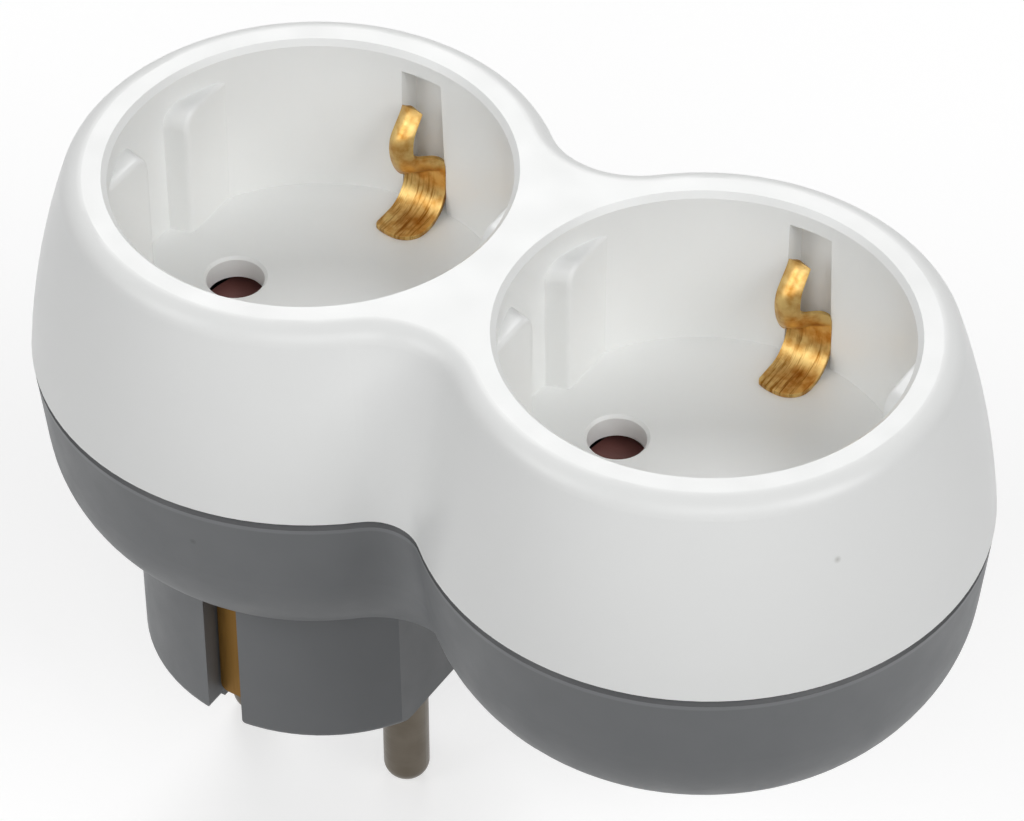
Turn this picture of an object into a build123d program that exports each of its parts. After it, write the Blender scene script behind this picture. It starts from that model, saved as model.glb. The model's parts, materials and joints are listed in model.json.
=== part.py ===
from build123d import *
import os
from math import acos, asin, cos, degrees, radians, sin, sqrt

# Two-way earthed socket adapter. All sizes are in millimetres.
# The origin is on the plug's axis, in the plug's face. +Z points up, out of the sockets,
# and +X runs along the housing, from the socket over the plug to the second socket.

# Plan of the housing, at the seam between cover and base
socket_pitch = 44.0
housing_radius = 27.9
waist_radius = 4.82

# Heights, stacked from the plug's face upwards
nose_height = 17.0
base_depth = 21.65
cover_height = 20.5

# Cover
cover_top_radius = 23.55
cover_bulge = 0.67
cover_shoulder = 2.3
cover_wall = 2.0

# Base
base_foot_radius = 25.6
base_corner = 14.0
base_wall = 2.0
seam_gap = 0.3
seam_bevel = 0.45
lip_height = 1.2
lip_clearance = 0.05

# Socket wells
well_radius = 19.5
well_floor_radius = 19.35
well_depth = 18.0
well_floor_thickness = 2.5
well_wall = 2.0
rim_chamfer = 0.55

# Guide ribs in the wells
rib_face_half_span = 16.8
rib_drop = 3.5
rib_gap = 4.6
rib_corner = 2.0
rib_flank_angle = 15.0
rib_edge = 0.5

# Plug
nose_radius = 18.6
nose_tip_radius = 18.45
nose_edge = 1.0
nose_flat_half_span = 15.65
nose_cavity_radius = 13.2
nose_face_thickness = 3.0
pin_spacing = 19.0
pin_diameter = 4.8
pin_length = 18.5
pin_tip_round = 2.1
pin_root_diameter = 5.2
pin_collar_diameter = 6.4
pin_collar_height = 1.5
pin_hole_diameter = 5.8
pin_hole_chamfer = 0.3

# Earth contacts
earth_span = 32.8
plug_earth_width = 3.6
plug_earth_thickness = 0.8
plug_earth_setback = 1.75
nose_slot_width = 4.0
nose_slot_flare = 1.1
nose_slot_relief = 1.0
rail_thickness = 0.6
rail_height = 5.0
rail_drop = 3.0
rail_overhang = 3.0
clip_thickness = 0.5
clip_width = 4.6
clip_shift = 0.35
clip_finger_width = 2.5
clip_lift = 0.02
clip_reach = 13.1
clip_foot_bend = 3.15
clip_bend = 1.2
clip_upright_height = 3.6
clip_neck_height = 4.1
clip_bulge_height = 8.0
clip_bulge_reach = 16.4
clip_dome = 0.5
clip_shoulder_height = 10.5
clip_shoulder_setback = 0.7
clip_tip_height = 11.9
clip_tip_setback = 0.25
clip_stub_height = 6.0
clip_tip_corner = 2.2
clip_tip_left_corner = 0.8
clip_leg_width = 3.0
pocket_clearance = 0.3
pocket_taper = 0.6
pocket_depth = 2.4
pocket_drop = 2.2
pocket_wall = 1.5

# Live and neutral contacts
bar_thickness = 0.8
bar_lift = 0.9
bar_run_width = 3.5
bar_run_offset = 6.45
bar_pad_width = 6.0
contact_thickness = 0.5
contact_width = 5.2
contact_foot_span = 5.8
contact_pinch_gap = 3.9
contact_mouth_span = 6.2
contact_shank_height = 3.0
contact_mouth_height = 3.0
contact_room = 0.5

# Shutters
shutter_radius = 12.6
shutter_hub_radius = 6.2
shutter_sleeve_wall = 0.6
shutter_thickness = 2.8
shutter_play = 0.3
shutter_wing_half_angle = 22.0
shutter_travel = 45.0
shutter_ramp_angle = 6.0
pivot_diameter = 5.6
pivot_clearance = 0.08
retainer_radius = 13.0
retainer_thickness = 1.2
retainer_window_diameter = 6.4
stop_peg_diameter = 1.6
stop_peg_radius = 11.4
stop_peg_bite = 1.0
stop_clearance = 0.35
spring_strip = 0.3
spring_height = 1.0
spring_inner_radius = 3.75
spring_step = 0.55
spring_half_turns = 4
spring_room = 0.4
spring_leg_diameter = 0.5
spring_leg_bite = 0.8

# Screws, rivets and what they pass through
screw_diameter = 2.9
screw_length = 16.0
screw_bite = 4.0
screw_head_diameter = 5.4
screw_head_height = 2.0
screw_slot_width = 0.8
screw_slot_depth = 0.9
rivet_diameter = 1.6
rivet_head_diameter = 2.6
rivet_head_height = 0.45
tail_diameter = 2.4
tail_head_diameter = 3.8
fit_clearance = 0.05
free_clearance = 0.2
pillar_wall = 1.4
rail_post_width = 4.0
rail_post_wall = 1.4
rail_post_grip = 2.0

# Levels that follow from the sizes above
seam_z = nose_height + base_depth
rim_z = seam_z + cover_height
floor_z = rim_z - well_depth
floor_under_z = floor_z - well_floor_thickness
shutter_top_z = floor_under_z - shutter_play
shutter_low_z = shutter_top_z - shutter_thickness
retainer_top_z = shutter_low_z - shutter_play
retainer_low_z = retainer_top_z - retainer_thickness
spring_top_z = retainer_top_z + spring_height
spring_recess_z = spring_top_z + spring_room
base_floor_z = nose_height + base_wall
bar_low_z = base_floor_z + bar_lift
bar_top_z = bar_low_z + bar_thickness
contact_floor_z = bar_top_z + contact_thickness
contact_top_z = retainer_low_z - contact_room
rail_top_z = floor_under_z - rail_drop
rail_low_z = rail_top_z - rail_height
rail_mid_z = (rail_low_z + rail_top_z) / 2
screw_tip_z = retainer_top_z + screw_bite
screw_seat_z = screw_tip_z - screw_length
lip_top_z = seam_z + lip_height

# Places in plan
sockets = [0.0, socket_pitch]
pin_half_spacing = pin_spacing / 2
plug_earth_back = earth_span / 2 - plug_earth_thickness
rail_inner = plug_earth_back - rail_thickness
bar_run_outer = bar_run_offset + bar_run_width / 2
clip_leg_inner = rail_inner - clip_thickness
rail_post_places = [socket_pitch / 4, socket_pitch * 3 / 4]
spring_outer_radius = spring_inner_radius + spring_half_turns * spring_step / 2
spring_leg_hole = spring_leg_diameter / 2 + free_clearance / 2
axis_pillar_radius = screw_head_diameter / 2 + free_clearance + pillar_wall

# The waist is a hollow of revolution about an axis beside the housing's middle. Its axis
# is placed so that the hollow meets both lobes tangentially at every height.
waist_axis_distance = housing_radius + waist_radius
waist_axis_y = sqrt(waist_axis_distance**2 - (socket_pitch / 2) ** 2)
waist_angle = degrees(acos(socket_pitch / 2 / waist_axis_distance))

# Cuts run this far past the faces that they open
overcut = 1.0


def standing(face):
    # A face drawn with radius across and height up, stood in the XZ plane
    return Plane.XZ * face


def turned(points):
    # A solid of revolution about Z from corners given as (radius, height)
    return revolve(standing(make_face(Polyline(*points, close=True))), Axis.Z)


def round_bar(radius, low, high, x=0.0, y=0.0):
    bar = Cylinder(radius, high - low, align=(Align.CENTER, Align.CENTER, Align.MIN))
    return Pos(x, y, low) * bar


def block(x_range, y_range, z_range):
    ranges = (x_range, y_range, z_range)
    middle = [(low + high) / 2 for low, high in ranges]
    return Pos(*middle) * Box(*[high - low for low, high in ranges])


def centred(half):
    return (-half, half)


def both_ways(shape):
    # The shape and its twin, half a turn round the socket's axis
    return shape + Rot(0, 0, 180) * shape


def plate_in(left, low, right, high):
    # A flat rectangle between two corners
    size = Rectangle(right - left, high - low, align=(Align.MIN, Align.MIN))
    return Pos(left, low) * size


def figure_eight(profile):
    # Two lobes of revolution with a tangent waist, from one half profile
    low, high = profile.bounding_box().min.Y, profile.bounding_box().max.Y
    lobe_sweep = 360 - 2 * waist_angle
    lobe = Rot(0, 0, waist_angle) * revolve(standing(profile), Axis.Z, lobe_sweep)
    other = Pos(socket_pitch, 0) * Rot(0, 0, 180) * lobe
    middle = socket_pitch / 2
    rhombus = Polyline(
        (0, 0), (middle, -waist_axis_y), (socket_pitch, 0), (middle, waist_axis_y), close=True
    )
    neck = Pos(0, 0, low) * extrude(make_face(rhombus), high - low)
    facing = Pos(waist_axis_distance, 0) * mirror(profile, Plane.YZ)
    hollow = revolve(standing(plate_in(0, low, waist_axis_distance, high) - facing), Axis.Z)
    for side in (-1, 1):
        neck -= Pos(middle, side * waist_axis_y) * hollow
    return lobe + neck + other


def cover_profile(inset):
    # Half profile of the cover, moved inwards by inset
    high = rim_z - inset
    foot = (housing_radius - inset, seam_z)
    shoulder = (cover_top_radius - inset, high)
    outline = [
        Line((0, seam_z), foot),
        SagittaArc(foot, shoulder, -cover_bulge),
        Line(shoulder, (0, high)),
        Line((0, high), (0, seam_z)),
    ]
    face = make_face(outline)
    corner = face.vertices().sort_by_distance(shoulder)[0]
    return fillet(corner, max(cover_shoulder - inset, cover_shoulder / 4))


def base_profile(inset, top):
    # Half profile of the base, moved inwards by inset, up to the given height
    low = nose_height + inset
    slope = (housing_radius - base_foot_radius) / base_depth
    foot = (base_foot_radius - inset + slope * inset, low)
    shoulder = (base_foot_radius - inset + slope * (top - nose_height), top)
    face = make_face(Polyline((0, low), foot, shoulder, (0, top), close=True))
    corner = face.vertices().sort_by_distance(foot)[0]
    return fillet(corner, base_corner - inset)


def seam_band(inset):
    # The part of the cover's half profile that lies beside the base's lip
    return cover_profile(inset) & plate_in(0, seam_z, housing_radius, lip_top_z)


def stop_peg_places():
    # One peg stops the wings shut, the other stops them open
    reach = stop_peg_diameter / 2 + stop_clearance
    margin = shutter_wing_half_angle + degrees(asin(reach / stop_peg_radius))
    angles = [radians(-margin), radians(180 + shutter_travel + margin)]
    return [(stop_peg_radius * cos(angle), stop_peg_radius * sin(angle)) for angle in angles]


def guide_ribs():
    # Four pads, two each side of a socket, that meet the flats of a plug
    low = floor_z - well_floor_thickness / 2
    high = rim_z - rib_drop
    start = well_radius + well_wall / 2
    outline = plate_in(rib_gap / 2, low, start, high)
    corner = outline.vertices().sort_by_distance((rib_gap / 2, high))[0]
    wall_plane = Plane(origin=(-start, 0, 0), x_dir=(0, 1, 0), z_dir=(1, 0, 0))
    outline = wall_plane * fillet(corner, rib_corner)
    pad = extrude(outline, start - rib_face_half_span, taper=rib_flank_angle)
    pad = fillet(pad.faces().sort_by(Axis.X)[-1].edges(), rib_edge)
    pad &= round_bar(start, floor_under_z, rim_z)
    return both_ways(pad + mirror(pad, Plane.XZ))


def clip_pocket(grow, low, high):
    # Space behind the well's wall for the earth clip on the +Y side, grown all round
    left = clip_shift - clip_width / 2 - pocket_clearance - grow
    right = clip_shift + clip_width / 2 + pocket_clearance + grow
    outline = Polyline(
        (left, low), (right, low), (right - pocket_taper, high), (left, high), close=True
    )
    front = well_floor_radius - pocket_depth
    back = well_radius + pocket_depth + grow
    return Pos(0, front) * extrude(standing(make_face(outline)), front - back)


def socket_cuts():
    # Everything that is cut out of one socket's floor and wall
    cuts = both_ways(clip_pocket(0, floor_z, rim_z - pocket_drop))
    leg_slot = block(
        centred(clip_leg_width / 2 + free_clearance),
        (clip_leg_inner - free_clearance, rail_inner + free_clearance),
        (floor_under_z - overcut, floor_z + overcut),
    )
    cuts += both_ways(leg_slot)
    hole, mouth = pin_hole_diameter / 2, pin_hole_diameter / 2 + pin_hole_chamfer
    pin_hole = turned(
        [
            (0, floor_under_z - overcut),
            (hole, floor_under_z - overcut),
            (hole, floor_z - pin_hole_chamfer),
            (mouth, floor_z),
            (mouth, floor_z + overcut),
            (0, floor_z + overcut),
        ]
    )
    cuts += both_ways(Pos(pin_half_spacing) * pin_hole)
    pilot_radius = screw_diameter / 2 + fit_clearance
    cuts += round_bar(pilot_radius, retainer_top_z - overcut, screw_tip_z + free_clearance)
    peg_socket_z = floor_under_z + stop_peg_bite + free_clearance
    for x, y in stop_peg_places():
        peg_radius = stop_peg_diameter / 2 + fit_clearance
        cuts += round_bar(peg_radius, floor_under_z - overcut, peg_socket_z, x, y)
    return cuts


def top_cover():
    outer = figure_eight(cover_profile(0))
    shell = outer - figure_eight(cover_profile(cover_wall))
    shell -= figure_eight(seam_band(base_wall / 2 - lip_clearance))
    socket = round_bar(well_radius + well_wall, floor_under_z, rim_z - cover_wall / 2)
    pocket_roof_z = rim_z - pocket_drop + pocket_wall
    socket += both_ways(clip_pocket(pocket_wall, floor_under_z, pocket_roof_z))
    pivot = round_bar(pivot_diameter / 2, retainer_top_z, floor_z)
    well = turned(
        [
            (0, floor_z),
            (well_floor_radius, floor_z),
            (well_radius, rim_z - rim_chamfer),
            (well_radius + rim_chamfer, rim_z),
            (well_radius + rim_chamfer, rim_z + overcut),
            (0, rim_z + overcut),
        ]
    )
    for x in sockets:
        shell += (Pos(x) * socket) & outer
        shell += Pos(x) * pivot
    for x in sockets:
        shell -= Pos(x) * well
        shell += Pos(x) * guide_ribs()
        shell -= Pos(x) * socket_cuts()
    return shell


def nose():
    # The round plug body, with its two flats and the slots for its earth strips
    top = base_floor_z
    root = nose_tip_radius + (nose_radius - nose_tip_radius) / nose_height * top
    outline = Polyline((0, 0), (nose_tip_radius, 0), (root, top), (0, top), close=True)
    face = make_face(outline)
    edge = face.vertices().sort_by_distance((nose_tip_radius, 0))[0]
    body = revolve(standing(fillet(edge, nose_edge)), Axis.Z)
    past = nose_radius + overcut
    flat = block((nose_flat_half_span, past), centred(past), (-overcut, top + overcut))
    half, flared = nose_slot_width / 2, nose_slot_width / 2 + nose_slot_flare
    mouth = plate_in(-flared, -overcut, flared, nose_slot_flare)
    for x in (-flared, flared):
        mouth -= Pos(x, nose_slot_flare) * Circle(nose_slot_flare)
    opening = plate_in(-half, -overcut, half, nose_height) + mouth
    slot = Pos(0, past) * extrude(standing(opening), past - plug_earth_back)
    slot += block(
        centred(half), (plug_earth_back - nose_slot_relief, past), (-overcut, nose_slot_relief)
    )
    return body - both_ways(flat) - both_ways(slot)


def base_posts(outer):
    # Pillars under the contacts and the shutter retainers, and forked posts for the rails
    pin_pillar = pin_collar_diameter / 2 + pillar_wall
    starts = {0.0: nose_face_thickness / 2, socket_pitch: nose_height + base_wall / 2}
    posts = []
    for place, low in starts.items():
        for x in (place - pin_half_spacing, place + pin_half_spacing):
            posts.append(round_bar(pin_pillar, low, bar_low_z, x))
        posts.append(round_bar(axis_pillar_radius, low, retainer_low_z, place))
    for place in rail_post_places:
        x_range = (place - rail_post_width / 2, place + rail_post_width / 2)
        y_range = (rail_inner - rail_post_wall, plug_earth_back + rail_post_wall)
        post = block(x_range, y_range, (nose_height, rail_low_z + rail_post_grip))
        posts.append(post & outer)
        posts.append(mirror(post, Plane.XZ) & outer)
    return posts


def base_cuts():
    # What opens the base for the rails, earth strips, power bars, pins, rivets and screws
    rail = block(
        (-rail_overhang, socket_pitch + rail_overhang),
        (rail_inner - fit_clearance, plug_earth_back + fit_clearance),
        (rail_low_z, seam_z),
    )
    strip = block(
        centred(nose_slot_width / 2),
        (plug_earth_back, earth_span / 2 + fit_clearance),
        (nose_height - overcut, rail_low_z),
    )
    channel = block(
        (pin_half_spacing, socket_pitch - pin_half_spacing),
        (bar_run_outer - bar_run_width, bar_run_outer + free_clearance),
        (bar_low_z, contact_floor_z),
    )
    cuts = []
    for cut in (rail, strip, channel):
        cuts += [cut, mirror(cut, Plane.XZ)]
    past = bar_low_z + overcut
    for x in (-pin_half_spacing, pin_half_spacing):
        cuts.append(round_bar(pin_root_diameter / 2 + fit_clearance, -overcut, past, x))
        collar_radius = pin_collar_diameter / 2 + fit_clearance
        cuts.append(round_bar(collar_radius, nose_face_thickness, past, x))
        tail_radius = tail_head_diameter / 2 + free_clearance
        cuts.append(round_bar(tail_radius, base_floor_z, past, socket_pitch + x))
    for x in sockets:
        head_radius = screw_head_diameter / 2 + free_clearance
        cuts.append(round_bar(head_radius, -overcut, screw_seat_z, x))
        shank_radius = screw_diameter / 2 + free_clearance
        cuts.append(round_bar(shank_radius, -overcut, retainer_low_z + overcut, x))
    return cuts


def base_shell():
    rim = seam_z - seam_gap
    profile = base_profile(0, rim)
    edge = profile.vertices().sort_by(Axis.X)[-1]
    outer = figure_eight(chamfer(edge, seam_bevel)) + nose()
    shell = outer - figure_eight(base_profile(base_wall, rim + overcut))
    shell -= round_bar(nose_cavity_radius, nose_face_thickness, base_floor_z + overcut)
    lip = seam_band(base_wall / 2) - seam_band(base_wall)
    lip += plate_in(housing_radius - base_wall, rim, housing_radius - base_wall / 2, seam_z)
    shell += figure_eight(lip)
    for post in base_posts(outer):
        shell += post
    for cut in base_cuts():
        shell -= cut
    return shell


def plug_pin():
    # Solid pin, with a collar that seats in the nose and a tail closed over the contact
    radius, tail = pin_diameter / 2, tail_diameter / 2
    root, collar, head = pin_root_diameter / 2, pin_collar_diameter / 2, tail_head_diameter / 2
    collar_top = nose_face_thickness + pin_collar_height
    head_top = contact_floor_z + rivet_head_height
    outline = Polyline(
        (0, -pin_length),
        (radius, -pin_length),
        (radius, 0),
        (root, 0),
        (root, nose_face_thickness),
        (collar, nose_face_thickness),
        (collar, collar_top),
        (radius, collar_top),
        (radius, bar_low_z),
        (tail, bar_low_z),
        (tail, contact_floor_z),
        (head, contact_floor_z),
        (head, head_top),
        (0, head_top),
        close=True,
    )
    face = make_face(outline)
    tip = face.vertices().sort_by_distance((radius, -pin_length))[0]
    return revolve(standing(fillet(tip, pin_tip_round)), Axis.Z)


def power_bar(near, far, side):
    # Flat bar that joins one contact of each socket, with its run to one side of the axis
    plan = plate_in(near, -bar_run_outer, far, bar_run_width - bar_run_outer)
    for x in (near, far):
        pad = bar_pad_width / 2
        plan += plate_in(x - pad, -bar_run_outer, x + pad, pad)
    for x in (near, far):
        plan -= Pos(x) * Circle(tail_diameter / 2 + fit_clearance)
    bar = Pos(0, 0, bar_low_z) * extrude(plan, bar_thickness)
    return bar if side < 0 else mirror(bar, Plane.XZ)


def pin_contact():
    # Two sprung leaves on one foot, which grip a plug's pin between them
    foot = contact_foot_span / 2
    pinch = (contact_pinch_gap + contact_thickness) / 2
    mouth = contact_mouth_span / 2
    pinch_z = contact_top_z - contact_mouth_height
    low = bar_top_z + contact_thickness / 2
    path = FilletPolyline(
        (0, low),
        (foot, low),
        (foot, low + contact_shank_height),
        (pinch, pinch_z),
        (mouth, contact_top_z),
        radius=contact_thickness,
    )
    leaf = trace(path, contact_thickness)
    section = Plane.YZ * (leaf + mirror(leaf, Plane.YZ))
    body = extrude(section, contact_width / 2, both=True)
    return body - round_bar(tail_diameter / 2 + fit_clearance, bar_low_z, contact_floor_z + overcut)


def contact_rivet():
    shank, head = tail_diameter / 2, tail_head_diameter / 2
    low, high = bar_low_z - rivet_head_height, contact_floor_z + rivet_head_height
    return turned(
        [
            (0, low),
            (head, low),
            (head, bar_low_z),
            (shank, bar_low_z),
            (shank, contact_floor_z),
            (head, contact_floor_z),
            (head, high),
            (0, high),
        ]
    )


def rivet_bore():
    # Hole along Y, at the height where clips, rails and plug strips are riveted together
    bore = Cylinder(rivet_diameter / 2 + fit_clearance, earth_span)
    return Pos(0, earth_span / 2, rail_mid_z) * Rot(90, 0, 0) * bore


def clip_finger(path):
    # Finger of the earth clip along its path, domed towards the socket's axis
    half_width, half = clip_finger_width / 2, clip_thickness / 2
    front = ThreePointArc((-half_width, -half), (0, -half - clip_dome), (half_width, -half))
    back = ThreePointArc((half_width, half), (0, half - clip_dome), (-half_width, half))
    section = make_face([front, Line(front @ 1, back @ 0), back, Line(back @ 1, front @ 0)])
    return sweep(Plane(path @ 0, x_dir=(1, 0, 0), z_dir=path % 0) * section, path)


def earth_clip():
    # Sprung earth contact on a socket's +Y side, bent from strip: a foot on the floor, a
    # finger that bows in to meet the plug, a short stub beside it and a leg to the rail
    half = clip_thickness / 2
    wall, sole = well_floor_radius, floor_z + clip_lift + half
    upright = (wall, floor_z + clip_upright_height)
    foot = FilletPolyline((clip_reach, sole), (wall, sole), upright, radius=clip_foot_bend)
    finger = FilletPolyline(
        (wall, sole + clip_foot_bend),
        (wall, floor_z + clip_neck_height),
        (clip_bulge_reach, floor_z + clip_bulge_height),
        (wall - clip_shoulder_setback, floor_z + clip_shoulder_height),
        (wall - clip_tip_setback, floor_z + clip_tip_height),
        radius=clip_bend,
    )
    stub = Line(upright, (wall, floor_z + clip_stub_height))
    left, right = clip_shift - clip_width / 2, clip_shift + clip_width / 2
    split = left + clip_finger_width
    body = Pos(left) * extrude(Plane.YZ * trace(foot, clip_thickness), clip_width)
    body += Pos(split) * extrude(Plane.YZ * trace([foot, stub], clip_thickness), right - split)
    plan = plate_in(left, clip_reach, right, 2 * well_radius)
    for x, corner in ((left, clip_tip_left_corner), (right, clip_tip_corner)):
        plan = fillet(plan.vertices().sort_by_distance((x, clip_reach))[0], corner)
    body &= Pos(0, 0, floor_z) * extrude(plan, well_depth)
    body += Pos((left + split) / 2) * clip_finger(Plane.YZ * finger)
    body += block(centred(clip_leg_width / 2), (clip_leg_inner, rail_inner), (rail_low_z, sole))
    return body - rivet_bore()


def earth_rail():
    # Strip on edge along the +Y side, which joins the earth clips of both sockets
    rail = block(
        (-rail_overhang, socket_pitch + rail_overhang),
        (rail_inner, plug_earth_back),
        (rail_low_z, rail_top_z),
    )
    for x in sockets:
        rail -= Pos(x) * rivet_bore()
    return rail


def plug_earth():
    # Strip in the slot of the plug's +Y side, up to the rail
    strip = block(
        centred(plug_earth_width / 2),
        (plug_earth_back, earth_span / 2),
        (plug_earth_setback, rail_top_z),
    )
    lower = strip.edges().filter_by(Axis.Y).sort_by(Axis.Z)[:2]
    return fillet(lower, plug_earth_width / 4) - rivet_bore()


def earth_rivet(outer):
    # Rivet along Y through clip leg and rail, and out to the given outer face
    shank = Cylinder(rivet_diameter / 2, outer - clip_leg_inner)
    body = Pos(0, (outer + clip_leg_inner) / 2, rail_mid_z) * Rot(90, 0, 0) * shank
    head = Rot(90, 0, 0) * Cylinder(rivet_head_diameter / 2, rivet_head_height)
    for y in (clip_leg_inner - rivet_head_height / 2, outer + rivet_head_height / 2):
        body += Pos(0, y, rail_mid_z) * head
    return body


def shutter():
    # Two ramped wings on a hub, shut over the pin holes at rest
    spread = radians(shutter_wing_half_angle)
    tip = (shutter_radius * cos(spread), shutter_radius * sin(spread))
    outline = [
        Line((0, 0), (tip[0], -tip[1])),
        ThreePointArc((tip[0], -tip[1]), (shutter_radius, 0), tip),
        Line(tip, (0, 0)),
    ]
    wing = Pos(0, 0, shutter_low_z) * extrude(make_face(outline), shutter_thickness)
    above = block((0, shutter_radius), centred(shutter_radius), (0, shutter_thickness))
    wing -= Pos(0, tip[1], shutter_top_z) * Rot(shutter_ramp_angle, 0, 0) * above
    body = both_ways(wing) + round_bar(shutter_hub_radius, shutter_low_z, shutter_top_z)
    bore = pivot_diameter / 2 + pivot_clearance
    recess_radius = spring_outer_radius + spring_strip / 2 + spring_room
    recess = round_bar(recess_radius, shutter_low_z - overcut, spring_recess_z)
    body -= recess - round_bar(bore + shutter_sleeve_wall, 0, rim_z)
    body -= round_bar(bore, 0, rim_z)
    return body - round_bar(spring_leg_hole, shutter_low_z, rim_z, spring_outer_radius)


def shutter_retainer():
    # Plate under the shutter, held between the pivot and the base's pillar
    body = round_bar(retainer_radius, retainer_low_z, retainer_top_z)
    past = (retainer_low_z - overcut, retainer_top_z + overcut)
    body -= both_ways(round_bar(retainer_window_diameter / 2, *past, pin_half_spacing))
    body -= round_bar(screw_diameter / 2 + free_clearance, *past)
    body -= round_bar(spring_leg_hole, *past, spring_inner_radius)
    for x, y in stop_peg_places():
        body += round_bar(stop_peg_diameter / 2, retainer_low_z, floor_under_z + stop_peg_bite, x, y)
    return body


def shutter_spring():
    # Flat spiral round the pivot, with one leg in the retainer and one in the shutter
    arcs = []
    for half in range(spring_half_turns):
        side = 1 if half % 2 == 0 else -1
        start = spring_inner_radius + half * spring_step / 2
        end = start + spring_step / 2
        top = (side * (start - end) / 2, side * (start + end) / 2)
        arcs.append(ThreePointArc((side * start, 0), top, (-side * end, 0)))
    body = Pos(0, 0, retainer_top_z) * extrude(trace(arcs, spring_strip), spring_height)
    leg_low, leg_top = retainer_top_z - spring_leg_bite, spring_recess_z + spring_leg_bite
    body += round_bar(spring_leg_diameter / 2, leg_low, spring_top_z, spring_inner_radius)
    outer_x = arcs[-1].end_point().X
    return body + round_bar(spring_leg_diameter / 2, retainer_top_z, leg_top, outer_x)


def housing_screw():
    # Pan screw, driven from below through the base and the retainer into the pivot
    head = round_bar(screw_head_diameter / 2, screw_seat_z - screw_head_height, screw_seat_z)
    lower = head.edges().filter_by(GeomType.CIRCLE).sort_by(Axis.Z)[0]
    head = fillet(lower, screw_head_height / 3)
    slot_top = screw_seat_z - screw_head_height + screw_slot_depth
    head -= block(
        centred(screw_head_diameter),
        centred(screw_slot_width / 2),
        (screw_seat_z - screw_head_height - overcut, slot_top),
    )
    return head + round_bar(screw_diameter / 2, screw_seat_z, screw_tip_z)


def front_of(shape):
    # The -Y twin of a piece on the +Y side
    return mirror(shape, Plane.XZ)


pieces = {"top_cover": top_cover(), "base_shell": base_shell()}
for name, x in (("line", -pin_half_spacing), ("neutral", pin_half_spacing)):
    pieces[f"plug_pin_{name}"] = Pos(x) * plug_pin()
    side = -1 if name == "line" else 1
    pieces[f"{name}_bar"] = power_bar(x, socket_pitch + x, side)
    for number, place in enumerate(sockets, 1):
        pieces[f"contact_{number}_{name}"] = Pos(place + x) * pin_contact()
pieces["contact_rivets"] = Compound(
    [Pos(socket_pitch + x) * contact_rivet() for x in (-pin_half_spacing, pin_half_spacing)]
)
for number, place in enumerate(sockets, 1):
    pieces[f"earth_clip_{number}_rear"] = Pos(place) * earth_clip()
    pieces[f"earth_clip_{number}_front"] = Pos(place) * Rot(0, 0, 180) * earth_clip()
    pieces[f"shutter_{number}"] = Pos(place) * shutter()
    pieces[f"shutter_spring_{number}"] = Pos(place) * shutter_spring()
    pieces[f"shutter_retainer_{number}"] = Pos(place) * shutter_retainer()
pieces["earth_rail_rear"] = earth_rail()
pieces["earth_rail_front"] = front_of(earth_rail())
pieces["plug_earth_rear"] = plug_earth()
pieces["plug_earth_front"] = front_of(plug_earth())
rivets = [earth_rivet(earth_span / 2), Pos(socket_pitch) * earth_rivet(plug_earth_back)]
pieces["earth_rivets"] = Compound(rivets + [front_of(rivet) for rivet in rivets])
pieces["housing_screws"] = Compound([Pos(x) * housing_screw() for x in sockets])

os.makedirs("parts", exist_ok=True)
for name, shape in pieces.items():
    export_step(shape, f"parts/{name}.step")
    print(name, len(shape.solids()), round(shape.volume, 1))
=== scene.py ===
import bmesh
import bpy
import json
from math import cos, pi, radians, sin, sqrt, tan
from mathutils import Matrix, Vector


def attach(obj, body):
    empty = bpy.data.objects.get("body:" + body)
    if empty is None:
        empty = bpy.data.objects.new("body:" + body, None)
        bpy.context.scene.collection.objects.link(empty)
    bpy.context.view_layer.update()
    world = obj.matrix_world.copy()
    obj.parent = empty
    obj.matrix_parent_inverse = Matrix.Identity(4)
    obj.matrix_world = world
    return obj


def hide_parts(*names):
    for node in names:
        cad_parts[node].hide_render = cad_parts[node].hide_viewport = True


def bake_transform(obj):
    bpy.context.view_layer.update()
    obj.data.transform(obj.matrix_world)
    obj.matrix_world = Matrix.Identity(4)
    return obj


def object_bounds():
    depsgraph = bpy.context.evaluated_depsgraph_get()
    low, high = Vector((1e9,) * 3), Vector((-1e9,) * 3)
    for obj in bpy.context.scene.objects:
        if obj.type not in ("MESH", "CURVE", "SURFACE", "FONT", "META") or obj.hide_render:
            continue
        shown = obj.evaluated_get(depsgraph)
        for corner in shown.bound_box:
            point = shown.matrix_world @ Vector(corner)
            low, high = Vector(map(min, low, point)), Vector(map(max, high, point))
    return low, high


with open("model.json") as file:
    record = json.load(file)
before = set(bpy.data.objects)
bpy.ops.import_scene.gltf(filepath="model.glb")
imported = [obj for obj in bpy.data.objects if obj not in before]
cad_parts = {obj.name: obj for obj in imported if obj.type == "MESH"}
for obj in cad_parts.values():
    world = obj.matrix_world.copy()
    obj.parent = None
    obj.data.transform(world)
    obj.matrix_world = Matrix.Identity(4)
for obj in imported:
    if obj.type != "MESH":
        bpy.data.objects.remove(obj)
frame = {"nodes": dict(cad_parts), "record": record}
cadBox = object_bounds()
scene = bpy.context.scene
socketPitch = 44.0  # millimetres between the axes of the two sockets
crispAngle = 40  # degrees: sharper edges stay edges under smooth shading
noiseLow, noiseHigh = 0.3, 0.7  # most values of a noise pattern lie between these
weldM, touchM = 1e-6, 1e-7  # metres: points this near are one
print("frame:", len(frame["nodes"]), "nodes")


def mm(*values):
    # millimetres of the CAD model to Blender's metres
    return Vector(values) / 1000 if len(values) > 1 else values[0] / 1000


def linear(hexColour):
    # sRGB hex to the linear colour that a shader reads
    parts = [int(hexColour[i:i + 2], 16) / 255 for i in (1, 3, 5)]
    return tuple(p / 12.92 if p <= 0.04045 else ((p + 0.055) / 1.055) ** 2.4 for p in parts) + (1.0,)


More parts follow.
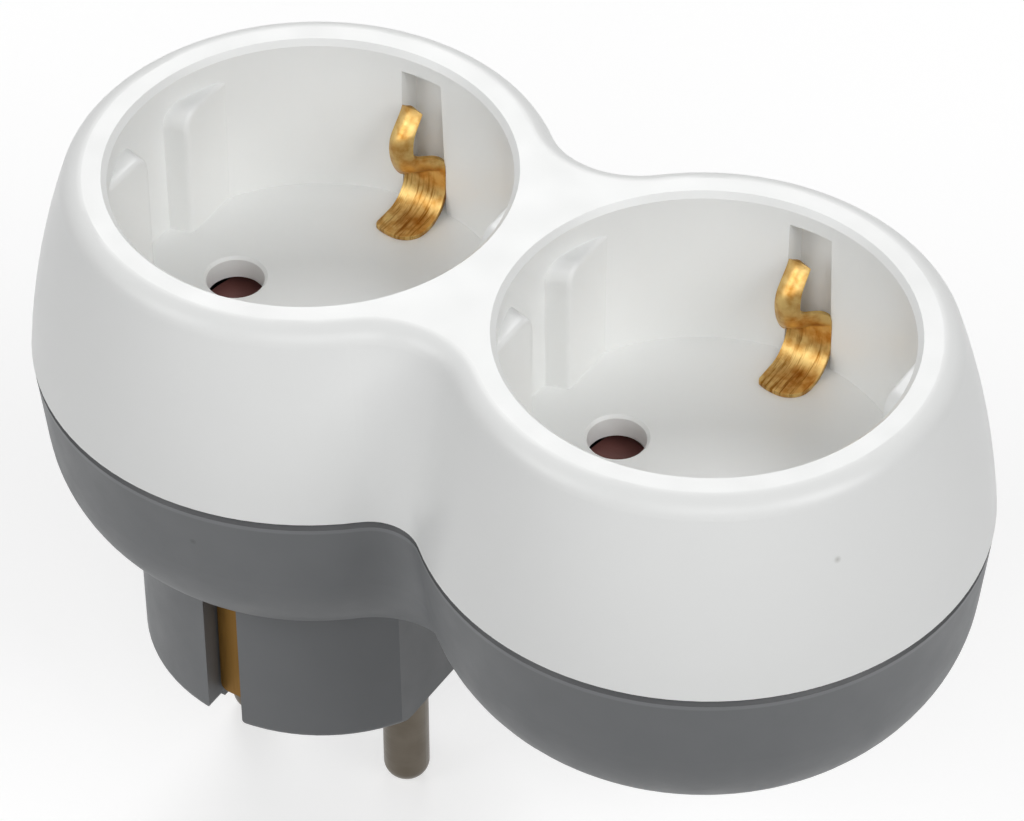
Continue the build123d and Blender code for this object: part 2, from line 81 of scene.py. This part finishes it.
def addNode(tree, kind, inputs=None, **settings):
    # a node with its settings; an input is a value or another node's socket
    node = tree.nodes.new(kind)
    for name, value in settings.items():
        setattr(node, name, value)
    for name, value in (inputs or {}).items():
        if isinstance(value, bpy.types.NodeSocket):
            tree.links.new(value, node.inputs[name])
        else:
            node.inputs[name].default_value = value
    return node


def startMaterial(name, **shader):
    # an empty tree with its shader, and the Object coordinates that patterns read
    material = bpy.data.materials.new(name)
    material.use_nodes = True
    tree = material.node_tree
    tree.nodes.clear()
    place = addNode(tree, "ShaderNodeTexCoord").outputs["Object"]
    skin = addNode(tree, "ShaderNodeBsdfPrincipled", {k.replace("_", " "): v for k, v in shader.items()})
    addNode(tree, "ShaderNodeOutputMaterial", {"Surface": skin.outputs[0]})
    return material, tree, skin, place


def perMm(size):
    # texture scale that gives features of this many millimetres
    return 1000 / size


def noise(tree, place, sizeMm, detail):
    # soft mottle with features of this many millimetres
    return addNode(tree, "ShaderNodeTexNoise", {
        "Vector": place, "Scale": perMm(sizeMm), "Detail": detail}).outputs[0]


def streaks(tree, place, sizesMm, detail, roughness=0.5):
    # mottle that is drawn out into lines, with its own size along each axis
    stretched = addNode(tree, "ShaderNodeMapping", {"Vector": place, "Scale": [perMm(s) for s in sizesMm]})
    return addNode(tree, "ShaderNodeTexNoise", {
        "Vector": stretched.outputs[0], "Scale": 1.0, "Detail": detail, "Roughness": roughness}).outputs[0]


def ramp(tree, value, low, high, start=0.0, end=1.0):
    # from the start at the low value to the end at the high one, and level beyond
    return addNode(tree, "ShaderNodeMapRange", {
        "Value": value, "From Min": low, "From Max": high, "To Min": start, "To Max": end}).outputs[0]


def mixed(tree, share, tone, colour):
    # a tone with a share of another colour over it
    return addNode(tree, "ShaderNodeMix", {
        0: share, 6: tone, 7: linear(colour)}, data_type="RGBA").outputs[2]


def heightOf(tree, place):
    # height above the plug's face, in metres
    return addNode(tree, "ShaderNodeSeparateXYZ", {"Vector": place}).outputs["Z"]


def finishSkin(tree, skin, tone, gloss, relief, depthMm, values):
    # the colour, a roughness that wanders between smooth and dull, and a fine relief
    sheen = ramp(tree, gloss, noiseLow, noiseHigh, values["smooth"], values["dull"])
    bump = addNode(tree, "ShaderNodeBump", {"Height": relief, "Distance": mm(depthMm), "Strength": 1.0})
    for socket, source in (("Base Color", tone), ("Roughness", sheen), ("Normal", bump.outputs[0])):
        tree.links.new(source, skin.inputs[socket])


coverValues = {
    "pale": "#F7F8F7", "shade": "#F4F5F4", "cloudMm": 16, "grainMm": 0.35, "grainDepthMm": 0.003,
    "smooth": 0.30, "dull": 0.38, "glossMm": 5, "ior": 1.5,
    "speckMm": (65.85, -13.53, 51.93), "speckSizeMm": 0.42, "speckColour": "#CFCFCB",
}
baseValues = {
    "pale": "#6E7072", "shade": "#6A6C6E", "cloudMm": 14, "grainMm": 0.4, "grainDepthMm": 0.008,
    "smooth": 0.44, "dull": 0.54, "glossMm": 4, "ior": 1.5,
    "speckMm": (3.77, -27.10, 33.78), "speckSizeMm": 0.42, "speckColour": "#585A5C",
    # heights from and to, and the colour above them: a painted highlight on the base's rim edge, and a
    # painted shadow under the cover's edge in the gap
    "paintedSeamLightMm": [(37.25, 37.40, "#7A7C7E"), (37.80, 37.88, "#404143")],
}
shutterValues = {
    "pale": "#875954", "shade": "#754B45", "cloudMm": 2.5, "grainMm": 0.3, "grainDepthMm": 0.01,
    "smooth": 0.42, "dull": 0.55, "glossMm": 2, "ior": 1.53,
}
retainerValues = {
    "pale": "#D8D3C4", "shade": "#CCC6B5", "cloudMm": 4, "grainMm": 0.3, "grainDepthMm": 0.008,
    "smooth": 0.42, "dull": 0.55, "glossMm": 3, "ior": 1.53,
}


def mouldedPlastic(name, values):
    # injection-moulded plastic: an even colour with faint flow clouds and the fine grain of a spark-eroded
    # mould; on the housing also a speck of other pigment, and on the base a painted highlight and a painted
    # shadow at the seam
    material, tree, skin, place = startMaterial(name, IOR=values["ior"])
    cloud = noise(tree, place, values["cloudMm"], detail=3.0)
    tone = mixed(tree, cloud, linear(values["pale"]), values["shade"])
    if "speckMm" in values:
        away = addNode(tree, "ShaderNodeVectorMath", {
            0: place, 1: mm(*values["speckMm"])}, operation="DISTANCE").outputs["Value"]
        tone = mixed(tree, ramp(tree, away, mm(values["speckSizeMm"]), 0.0), tone, values["speckColour"])
    # painted light at the seam: a lighter band for the highlight on the base's rim edge, and a dark band
    # above it for the shadow under the cover's edge
    for low, high, colour in values.get("paintedSeamLightMm", []):
        tone = mixed(tree, ramp(tree, heightOf(tree, place), mm(low), mm(high)), tone, colour)
    gloss = noise(tree, place, values["glossMm"], detail=4.0)
    grain = noise(tree, place, values["grainMm"], detail=1.0)
    finishSkin(tree, skin, tone, gloss, grain, values["grainDepthMm"], values)
    return material


brassValues = {
    "bright": "#D8B876", "tarnish": "#AE7426", "patchMm": 1.3, "patchFrom": 0.40, "patchTo": 0.74,
    "lineMm": 0.30, "runMm": 4, "lineDepthMm": 0.010, "smooth": 0.36, "dull": 0.52,
    "scored": "#905F20", "scoreFrom": 0.52, "scoreTo": 0.34, "scoreTopMm": 46.2, "scoreFullMm": 43.6,
    # painted shade on the plug's strips: this darker colour below these heights
    "slotShade": "#7E5D2B", "slotShadeTopMm": 20.0, "slotShadeFullMm": 17.0,
}


def rolledBrass(name, values):
    # rolled and stamped brass strip: draw lines along it that turn dark where plugs rub, warmer tarnish
    # in patches, and painted shade on the plug's strips, a darker brown for the slot's shadow and the dark
    # they reflect
    material, tree, skin, place = startMaterial(name, Metallic=1.0)
    sizes = (values["lineMm"], values["runMm"], values["runMm"])
    lines = streaks(tree, place, sizes, detail=4.0, roughness=0.6)
    patches = noise(tree, place, values["patchMm"], detail=4.0)
    height = heightOf(tree, place)
    worn = ramp(tree, patches, values["patchFrom"], values["patchTo"])
    rubbed = ramp(tree, height, mm(values["scoreTopMm"]), mm(values["scoreFullMm"]))
    scored = ramp(tree, lines, values["scoreFrom"], values["scoreTo"], end=rubbed)
    # painted shade: darker towards the plug's face, where its strips sit in the slot's shadow and reflect
    # dark
    slotShade = ramp(tree, height, mm(values["slotShadeTopMm"]), mm(values["slotShadeFullMm"]))
    tone = linear(values["bright"])
    for share, colour in ((worn, "tarnish"), (scored, "scored"), (slotShade, "slotShade")):
        tone = mixed(tree, share, tone, values[colour])
    finishSkin(tree, skin, tone, lines, lines, values["lineDepthMm"], values)
    return material


nickelValues = {
    "bright": "#766F65", "tarnish": "#5F574C", "ringMm": 0.12, "runMm": 4, "ringDepthMm": 0.004,
    "patchMm": 3, "smooth": 0.28, "dull": 0.42,
}
springValues = dict(nickelValues, bright="#B9BABC", tarnish="#8F9092", smooth=0.2, dull=0.35)
screwValues = dict(nickelValues, bright="#C2C4C6", tarnish="#9A9C9E", smooth=0.25, dull=0.4)


def turnedMetal(name, values):
    # turned or drawn metal with a plated skin: a grey sheen with faint rings from the lathe
    material, tree, skin, place = startMaterial(name, Metallic=1.0)
    sizes = (values["runMm"], values["runMm"], values["ringMm"])
    rings = streaks(tree, place, sizes, detail=2.0)
    patches = noise(tree, place, values["patchMm"], detail=3.0)
    tone = mixed(tree, patches, linear(values["bright"]), values["tarnish"])
    finishSkin(tree, skin, tone, rings, rings, values["ringDepthMm"], values)
    return material


finishes = {
    "cover_plastic": mouldedPlastic("whiteMouldedAbs", coverValues),
    "base_plastic": mouldedPlastic("greyMouldedAbs", baseValues),
    "pin_nickel": turnedMetal("nickelPlatedBrass", nickelValues),
    "contact_brass": rolledBrass("rolledBrass", brassValues),
    "shutter_plastic": mouldedPlastic("brownMouldedPolyamide", shutterValues),
    "retainer_plastic": mouldedPlastic("naturalMouldedPolyamide", retainerValues),
    "spring_steel": turnedMetal("brightSpringSteel", springValues),
    "screw_steel": turnedMetal("zincPlatedSteel", screwValues),
}
for part in frame["record"]["subparts"]:
    node = frame["nodes"][part["node"]]
    node.data.materials.clear()
    node.data.materials.append(finishes[part["material_slot"]])
print("finishes:", len(finishes))


def startTree(name, inputs):
    # a geometry tree with named inputs, and its two end nodes
    tree = bpy.data.node_groups.new(name, "GeometryNodeTree")
    tree.is_modifier = True
    ids = {}
    for label, kind in inputs.items():
        socket = tree.interface.new_socket(label, in_out="INPUT", socket_type="NodeSocket" + kind)
        ids[label] = socket.identifier
    tree.interface.new_socket("Geometry", in_out="OUTPUT", socket_type="NodeSocketGeometry")
    start, end = addNode(tree, "NodeGroupInput"), addNode(tree, "NodeGroupOutput")
    return tree, {label: start.outputs[label] for label in inputs}, end.inputs[0], ids


def smoothFaces(mesh):
    # smooth shading that keeps real edges crisp
    mesh.polygons.foreach_set("use_smooth", [True] * len(mesh.polygons))
    mesh.set_sharp_from_angle(angle=radians(crispAngle))


def growPiece(name, tree, ids, values):
    # run a tree on an empty object, and keep its result as a plain mesh
    piece = bpy.data.objects.new(name, bpy.data.meshes.new(name))
    scene.collection.objects.link(piece)
    grow = piece.modifiers.new("grow", "NODES")
    grow.node_group = tree
    for label, value in values.items():
        grow[ids[label]] = value
    mesh = bpy.data.meshes.new_from_object(piece.evaluated_get(bpy.context.evaluated_depsgraph_get()))
    piece.modifiers.remove(grow)
    piece.data = mesh
    mesh.name = name
    smoothFaces(mesh)
    return piece


clipValues = {
    # the strip's plan, seen along the socket's axis, and the foot's end
    "left": -1.95, "right": 2.9, "split": 0.6,
    "reach": 13.1, "endMiddle": 0.3, "endCurve": 0.1, "endRound": 2.4, "endLeftRound": 0.3,
    "footTop": 41.65, "face": 19.1, "bend": 3.0, "thick": 0.46,
    # the bow of the finger's left edge, by height, and how it eases off to the right
    "bow": [(44.1, 0.0), (44.6, 0.68), (45.8, 1.6), (47.3, 2.32), (48.65, 2.66), (49.75, 2.68),
            (50.7, 2.38), (51.5, 1.68), (52.25, 0.9), (52.9, 0.35), (53.5, 0.1)],
    "shallow": 0.19, "lift": 0.5, "foldLift": 1.3, "foldLow": 44.0, "foldHigh": 50.0,
    "dome": 0.7, "domeLow": 44.4, "domeHigh": 46.8, "tip": 53.7, "tipArc": 0.55,
    "stub": 48.35, "stubRound": 1.2, "notchRound": 0.5,
    "legHalf": 1.5, "legInner": 14.5, "legFoot": 30.65,
    "edge": 0.08, "edgeSteps": 2, "edgeAngle": 50,
    # steps of the mesh along the strip and across it
    "footRows": 14, "bendRows": 16, "stubRows": 24, "fingerRows": 50, "fingerColumns": 20, "stubColumns": 18,
}


def easedBow(points, height):
    # smooth curve through the points, flat at both ends
    height = min(max(height, points[0][0]), points[-1][0])
    last = len(points) - 1
    i = max(k for k in range(last) if points[k][0] <= height)

    def slope(k):
        if k in (0, last):
            return 0.0
        return (points[k + 1][1] - points[k - 1][1]) / (points[k + 1][0] - points[k - 1][0])

    (low, start), (high, end) = points[i], points[i + 1]
    t = (height - low) / (high - low)
    return ((1 + 2 * t) * (1 - t) ** 2 * start + t * t * (3 - 2 * t) * end
            + (high - low) * (t * (1 - t) ** 2 * slope(i) + t * t * (t - 1) * slope(i + 1)))


def rounding(radius, inside):
    # how far a rounded corner falls back, this far from its side
    return radius - sqrt(max(radius ** 2 - max(radius - inside, 0) ** 2, 0))


def easedStep(low, high, height):
    # from 0 below the low height to 1 above the high one
    t = min(max((height - low) / (high - low), 0), 1)
    return t * t * (3 - 2 * t)


def clipColumn(v, x):
    # one line along the strip from the foot's end upwards, as (y, z) of its upper face
    reach = (v["reach"] + v["endCurve"] * min(x - v["endMiddle"], 0) ** 2
             + rounding(v["endRound"], v["right"] - x) + rounding(v["endLeftRound"], x - v["left"]))
    start = v["face"] - v["bend"]
    rows = [(reach + (start - reach) * i / v["footRows"], v["footTop"]) for i in range(v["footRows"])]
    for i in range(v["bendRows"]):
        angle = pi / 2 * i / v["bendRows"]
        rows.append((start + v["bend"] * sin(angle), v["footTop"] + v["bend"] * (1 - cos(angle))))
    low = v["footTop"] + v["bend"]
    beside = max(x - v["split"], 0)
    stub = v["stub"] + rounding(v["notchRound"], beside) - rounding(v["stubRound"], v["right"] - x)
    rows += [(v["face"], low + (stub - low) * i / v["stubRows"]) for i in range(v["stubRows"] + 1)]
    share = (x - v["left"]) / (v["split"] - v["left"])
    across = 2 * min(share, 1) - 1
    if beside == 0:
        tip = v["tip"] - v["tipArc"] * across ** 2
        rows += [(v["face"], stub + (tip - stub) * (i + 1) / v["fingerRows"]) for i in range(v["fingerRows"])]
    depth = (1 - v["shallow"] * min(share, 1)) * (1 - beside / (v["right"] - v["split"]))
    column = []
    for y, z in rows:
        lift = share * (v["lift"] + v["foldLift"] * (1 - easedStep(v["foldLow"], v["foldHigh"], z)))
        dome = v["dome"] * easedStep(v["domeLow"], v["domeHigh"], z) * (1 - across ** 2)
        column.append((y - depth * easedBow(v["bow"], z - lift) - dome, z))
    return column


def pressClip(v):
    # stamped and pressed earth clip: a foot, a bowed and domed finger, and a stub that flows into it
    finger, stub = v["fingerColumns"], v["stubColumns"]
    columns = [v["left"] + (v["split"] - v["left"]) * i / finger for i in range(finger)]
    columns += [v["split"] + (v["right"] - v["split"]) * i / stub for i in range(stub + 1)]
    strip = bmesh.new()
    lines = [[strip.verts.new(mm(x, y, z)) for y, z in clipColumn(v, x)] for x in columns]
    for here, there in zip(lines, lines[1:]):
        for i in range(min(len(here), len(there)) - 1):
            strip.faces.new((here[i], there[i], there[i + 1], here[i + 1]))
    legTop = v["footTop"] - v["thick"] / 2
    legCorners = [(-1, v["legFoot"]), (1, v["legFoot"]), (1, legTop), (-1, legTop)]
    strip.faces.new([strip.verts.new(mm(side * v["legHalf"], v["legInner"], z)) for side, z in legCorners])
    mesh = bpy.data.meshes.new("earthClip")
    strip.to_mesh(mesh)
    strip.free()
    clip = bpy.data.objects.new("earthClip", mesh)
    scene.collection.objects.link(clip)
    wall = clip.modifiers.new("wall", "SOLIDIFY")
    wall.thickness, wall.offset, wall.use_even_offset = mm(v["thick"]), -1.0, True
    ease = clip.modifiers.new("ease", "BEVEL")
    ease.width, ease.segments = mm(v["edge"]), v["edgeSteps"]
    ease.limit_method, ease.angle_limit = "ANGLE", radians(v["edgeAngle"])
    solid = bpy.data.meshes.new_from_object(clip.evaluated_get(bpy.context.evaluated_depsgraph_get()))
    clip.modifiers.clear()
    clip.data = solid
    return clip


def placeClips(v):
    # the same clip four times: two to a socket, half a turn apart
    tree, given, result, ids = startTree("clipPlaces", {
        "Clip": "Object", "Pitch": "Float", "Finish": "Material"})
    clip = addNode(tree, "GeometryNodeObjectInfo", {"Object": given["Clip"]})
    step = addNode(tree, "ShaderNodeCombineXYZ", {"X": given["Pitch"]})
    sockets = addNode(tree, "GeometryNodeMeshLine", {"Count": 2, "Offset": step.outputs[0]})
    both = addNode(tree, "GeometryNodeJoinGeometry")
    for turn in (0.0, pi):
        copies = addNode(tree, "GeometryNodeInstanceOnPoints", {
            "Points": sockets.outputs[0], "Instance": clip.outputs["Geometry"], "Rotation": (0, 0, turn)})
        tree.links.new(copies.outputs[0], both.inputs[0])
    real = addNode(tree, "GeometryNodeRealizeInstances", {"Geometry": both.outputs[0]})
    done = addNode(tree, "GeometryNodeSetMaterial", {
        "Geometry": real.outputs[0], "Material": given["Finish"]})
    tree.links.new(done.outputs[0], result)
    pattern = pressClip(v)
    clips = growPiece("earthClips", tree, ids, {
        "Clip": pattern, "Pitch": mm(socketPitch), "Finish": finishes["contact_brass"]})
    bpy.data.objects.remove(pattern)
    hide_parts("earth_clip_1_rear", "earth_clip_1_front", "earth_clip_2_rear", "earth_clip_2_front")
    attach(clips, "housing")
    print("clips:", len(clips.data.polygons), "faces")


placeClips(clipValues)

screwShape = {
    "headRadius": 2.68, "headHeight": 2.0, "slotWidth": 0.8, "slotDepth": 0.9,
    "coreRadius": 1.15, "threadDepth": 0.28, "threadRise": 1.1,
    "headSides": 48, "headRings": 24, "coreSides": 32, "threadSteps": 24, "threadSides": 3,
}


def placeScrews(v):
    # slotted pan-head screws driven from below, one under each socket, with a thread
    old = frame["nodes"]["housing_screws"]
    heights = [(old.matrix_world @ corner.co).z for corner in old.data.vertices]
    seat = min(heights) + mm(v["headHeight"])
    length = max(heights) - seat
    tree, given, result, ids = startTree("screwPlaces", {
        "Head Radius": "Float", "Head Height": "Float", "Slot Width": "Float", "Slot Depth": "Float",
        "Core Radius": "Float", "Thread Depth": "Float", "Turns": "Float", "Length": "Float", "Seat": "Float",
        "Pitch": "Float", "Finish": "Material"})

    def place3(x=0.0, y=0.0, z=0.0):
        return addNode(tree, "ShaderNodeCombineXYZ", {"X": x, "Y": y, "Z": z}).outputs[0]

    def maths(operation, a, b):
        return addNode(tree, "ShaderNodeMath", {0: a, 1: b}, operation=operation).outputs[0]

    def moved(shape, **change):
        return addNode(tree, "GeometryNodeTransform", {"Geometry": shape, **change}).outputs[0]

    # half a flattened ball for the head: a block takes its upper half away, and a bar cuts the slot
    low = maths("MULTIPLY", given["Head Height"], -1.0)
    ball = addNode(tree, "GeometryNodeMeshUVSphere", {
        "Segments": v["headSides"], "Rings": v["headRings"], "Radius": given["Head Radius"]}).outputs[0]
    squash = place3(1.0, 1.0, maths("DIVIDE", given["Head Height"], given["Head Radius"]))
    head = addNode(tree, "GeometryNodeMeshBoolean", {
        "Mesh 1": moved(ball, Scale=squash)}, operation="DIFFERENCE")
    wide = maths("MULTIPLY", given["Head Radius"], 3.0)
    upper = addNode(tree, "GeometryNodeMeshCube", {"Size": place3(wide, wide, wide)}).outputs[0]
    tree.links.new(moved(upper, Translation=place3(z=maths("DIVIDE", wide, 2.0))), head.inputs["Mesh 2"])
    deep = maths("MULTIPLY", given["Slot Depth"], 2.0)
    slot = addNode(tree, "GeometryNodeMeshCube", {"Size": place3(wide, given["Slot Width"], deep)}).outputs[0]
    tree.links.new(moved(slot, Translation=place3(z=low)), head.inputs["Mesh 2"])
    core = addNode(tree, "GeometryNodeMeshCylinder", {
        "Vertices": v["coreSides"], "Radius": given["Core Radius"], "Depth": given["Length"]}).outputs[0]
    shank = moved(core, Translation=place3(z=maths("DIVIDE", given["Length"], 2.0)))
    helix = addNode(tree, "GeometryNodeCurveSpiral", {
        "Resolution": v["threadSteps"], "Rotations": given["Turns"], "Start Radius": given["Core Radius"],
        "End Radius": given["Core Radius"], "Height": given["Length"]}).outputs[0]
    ridge = addNode(tree, "GeometryNodeCurvePrimitiveCircle", {
        "Resolution": v["threadSides"], "Radius": given["Thread Depth"]}).outputs[0]
    thread = addNode(tree, "GeometryNodeCurveToMesh", {
        "Curve": helix, "Profile Curve": ridge, "Fill Caps": True})
    screw = addNode(tree, "GeometryNodeJoinGeometry")
    for shape in (head.outputs[0], shank, thread.outputs[0]):
        tree.links.new(shape, screw.inputs[0])
    sockets = addNode(tree, "GeometryNodeMeshLine", {
        "Count": 2, "Start Location": place3(z=given["Seat"]), "Offset": place3(given["Pitch"])})
    copies = addNode(tree, "GeometryNodeInstanceOnPoints", {
        "Points": sockets.outputs[0], "Instance": screw.outputs[0]})
    real = addNode(tree, "GeometryNodeRealizeInstances", {"Geometry": copies.outputs[0]})
    done = addNode(tree, "GeometryNodeSetMaterial", {
        "Geometry": real.outputs[0], "Material": given["Finish"]})
    tree.links.new(done.outputs[0], result)
    screws = growPiece("housingScrews", tree, ids, {
        "Head Radius": mm(v["headRadius"]), "Head Height": mm(v["headHeight"]),
        "Slot Width": mm(v["slotWidth"]), "Slot Depth": mm(v["slotDepth"]),
        "Core Radius": mm(v["coreRadius"]), "Thread Depth": mm(v["threadDepth"]),
        "Turns": length / mm(v["threadRise"]), "Length": length, "Seat": seat, "Pitch": mm(socketPitch),
        "Finish": finishes["screw_steel"]})
    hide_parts("housing_screws")
    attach(screws, "housing")
    print("screws:", len(screws.data.polygons), "faces")


placeScrews(screwShape)

springShape = {"low": 35.25, "high": 36.25, "cuts": 9}


def windSpring(number, v):
    # the spiral spring, which winds with its shutter: its lower edge stays with the housing and its upper one
    # turns;
    # here its strip is welded and cut level at even heights between them
    name = f"shutter_spring_{number}"
    old = frame["nodes"][name]
    strip = bmesh.new()
    strip.from_mesh(old.data)
    strip.transform(old.matrix_world)
    bmesh.ops.remove_doubles(strip, verts=strip.verts, dist=weldM)
    for i in range(v["cuts"] + 1):
        height = v["low"] + (v["high"] - v["low"]) * i / v["cuts"]
        bmesh.ops.bisect_plane(strip, geom=strip.verts[:] + strip.edges[:] + strip.faces[:], dist=touchM,
                               plane_co=mm(0, 0, height), plane_no=(0, 0, 1))
    mesh = bpy.data.meshes.new(f"windingSpring{number}")
    strip.to_mesh(mesh)
    strip.free()
    smoothFaces(mesh)
    mesh.materials.append(finishes["spring_steel"])
    spring = bpy.data.objects.new(mesh.name, mesh)
    scene.collection.objects.link(spring)
    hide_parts(name)
    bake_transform(spring)
    print("spring:", len(mesh.polygons), "faces")


for number in (1, 2):
    windSpring(number, springShape)

padValues = {
    # distances from the socket's axis (the pads end inside the wall), and heights
    "face": 16.78, "backs": [19.9, 19.3, 18.5, 17.7], "wall": 20.2, "top": 56.05, "foot": 40.8,
    # half the gap between two pads at one distance, and how their flanks open towards the axis
    "gap": 2.28, "gapAt": 20.5, "flank": 15.0,
    # roundings, their steps, and the narrow flat beside each that keeps its shading off the faces
    "corner": 2.0, "edge": 0.5, "steps": 8, "flat": 0.05,
}


def padOutline(v, x, inset):
    # a pad's outline at one distance from the axis: up its flank, round the corner, and along to the wall
    flank = v["gap"] + (v["gapAt"] - x) * tan(radians(v["flank"]))
    end = sqrt(v["wall"] ** 2 - x ** 2)
    middleY, middleZ, radius = flank + v["corner"], v["top"] - v["corner"], v["corner"] - inset
    outline = [(flank + inset, v["foot"]), (flank + inset, middleZ - v["flat"])]
    for i in range(v["steps"] + 1):
        angle = radians(180 - 90 * i / v["steps"])
        outline.append((middleY + radius * cos(angle), middleZ + radius * sin(angle)))
    outline += [(middleY + v["flat"], v["top"] - inset), (end, v["top"] - inset), (end, v["foot"])]
    return [(min(y, end), z) for y, z in outline]


def placePads(v):
    # the wells' guide pads with level tops, as in the photograph, a hair outside the cover's lower pads
    stations = [(x, 0.0) for x in v["backs"]]
    for i in range(v["steps"] + 1):
        angle = radians(90 * i / v["steps"])
        stations.append((v["face"] + v["edge"] * (1 - sin(angle)), v["edge"] * (1 - cos(angle))))
    stations.append((v["face"], v["edge"] + v["flat"]))
    pads = bmesh.new()
    for middle in (0.0, socketPitch):
        for sideX, sideY in ((-1, -1), (-1, 1), (1, -1), (1, 1)):
            rings = []
            for x, inset in stations:
                outline = padOutline(v, x, inset)
                rings.append([pads.verts.new(mm(middle + sideX * x, sideY * y, z)) for y, z in outline])
            for one, other in zip(rings, rings[1:]):
                for i in range(len(one)):
                    pads.faces.new((one[i - 1], one[i], other[i], other[i - 1]))
            pads.faces.new(rings[0])
            pads.faces.new(rings[-1])
    bmesh.ops.remove_doubles(pads, verts=pads.verts, dist=touchM)
    bmesh.ops.dissolve_degenerate(pads, edges=pads.edges, dist=touchM)
    bmesh.ops.recalc_face_normals(pads, faces=pads.faces)
    mesh = bpy.data.meshes.new("guidePads")
    pads.to_mesh(mesh)
    pads.free()
    smoothFaces(mesh)
    mesh.materials.append(finishes["cover_plastic"])
    piece = bpy.data.objects.new(mesh.name, mesh)
    scene.collection.objects.link(piece)
    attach(piece, "housing")
    print("pads:", len(mesh.polygons), "faces")


placePads(padValues)


def seenBy(tree, *rays):
    # 1 for any of these kinds of ray, and 0 for the rest
    path = addNode(tree, "ShaderNodeLightPath")
    seen = path.outputs[rays[0]]
    for ray in rays[1:]:
        either = addNode(tree, "ShaderNodeMath", {0: seen, 1: path.outputs[ray]}, operation="MAXIMUM")
        seen = either.outputs[0]
    return seen


floorValues = {"sizeM": 6.0, "colour": "#C8C8C8", "roughness": 0.9, "lift": 0.58}


def layFloor(values):
    # a plain pale sheet under the pin tips, lifted to white where it is seen
    half = values["sizeM"] / 2
    low = cadBox[0][2]
    corners = [(-half, -half, low), (half, -half, low), (half, half, low), (-half, half, low)]
    mesh = bpy.data.meshes.new("floor")
    mesh.from_pydata(corners, [], [(0, 1, 2, 3)])
    floor = bpy.data.objects.new("floor", mesh)
    scene.collection.objects.link(floor)
    material, tree, skin, _ = startMaterial(
        "paleSheet", Base_Color=linear(values["colour"]), Roughness=values["roughness"],
        Specular_IOR_Level=0.0, Emission_Color=(1, 1, 1, 1))
    seen = seenBy(tree, "Is Camera Ray", "Is Glossy Ray")
    lift = addNode(tree, "ShaderNodeMath", {0: seen, 1: values["lift"]}, operation="MULTIPLY")
    tree.links.new(lift.outputs[0], skin.inputs["Emission Strength"])
    mesh.materials.append(material)


layFloor(floorValues)

lightValues = {
    "world": 0.0, "aim": (0.02, 0, 0.03),
    "softboxes": [
        {"name": "front", "at": (0.40, -0.63, 0.70), "sizeM": 0.6, "watts": 2.25},
        {"name": "right", "at": (0.80, -0.10, 0.60), "sizeM": 0.6, "watts": 3.86},
        {"name": "left", "at": (-0.45, -0.65, 0.60), "sizeM": 0.6, "watts": 2.68},
        {"name": "back", "at": (-0.38, 0.62, 0.70), "sizeM": 0.5, "watts": 3.73},
        {"name": "low", "at": (-0.20, -0.92, 0.15), "sizeM": 0.6, "watts": 0.56},
    ],
}


def lightScene(values):
    # soft round lamps about the object, in a studio that is white to look at and gives no light of its own
    world = bpy.data.worlds.new("studio")
    world.use_nodes = True
    tree = world.node_tree
    tree.nodes.clear()
    seen = seenBy(tree, "Is Camera Ray", "Is Glossy Ray", "Is Transmission Ray")
    glow = addNode(tree, "ShaderNodeBackground", {
        "Color": (1, 1, 1, 1), "Strength": ramp(tree, seen, 0.0, 1.0, values["world"], 1.0)})
    addNode(tree, "ShaderNodeOutputWorld", {"Surface": glow.outputs[0]})
    scene.world = world
    for box in values["softboxes"]:
        light = bpy.data.lights.new(box["name"], "AREA")
        light.shape = "DISK"
        light.size = box["sizeM"]
        light.energy = box["watts"]
        lamp = bpy.data.objects.new(box["name"], light)
        lamp.location = box["at"]
        beam = Vector(values["aim"]) - Vector(box["at"])
        lamp.rotation_euler = beam.to_track_quat("-Z", "Y").to_euler()
        scene.collection.objects.link(lamp)


lightScene(lightValues)
scene.view_settings.view_transform = "Standard"
print("stage and lights")

cameraValues = {
    "aimMm": (34.60, -18.86, 59.15), "azimuth": 32.314, "elevation": 42.327, "roll": -0.256,
    "distanceMm": 489.83, "lens": 189.567, "sensor": 36.0, "nearM": 0.01, "farM": 20,
}


def placeCamera(values):
    # the photograph's viewpoint, measured from the well rims, the seam and the plug
    turn = (Matrix.Rotation(radians(values["azimuth"]), 4, "Z")
            @ Matrix.Rotation(radians(90 - values["elevation"]), 4, "X")
            @ Matrix.Rotation(radians(values["roll"]), 4, "Z"))
    view = bpy.data.cameras.new("photoView")
    view.lens = values["lens"]
    view.sensor_fit = "HORIZONTAL"
    view.sensor_width = values["sensor"]
    view.clip_start, view.clip_end = values["nearM"], values["farM"]
    camera = bpy.data.objects.new("photoView", view)
    camera.matrix_world = (Matrix.Translation(mm(*values["aimMm"])) @ turn
                           @ Matrix.Translation((0, 0, mm(values["distanceMm"]))))
    scene.collection.objects.link(camera)
    scene.camera = camera


placeCamera(cameraValues)
print("camera")
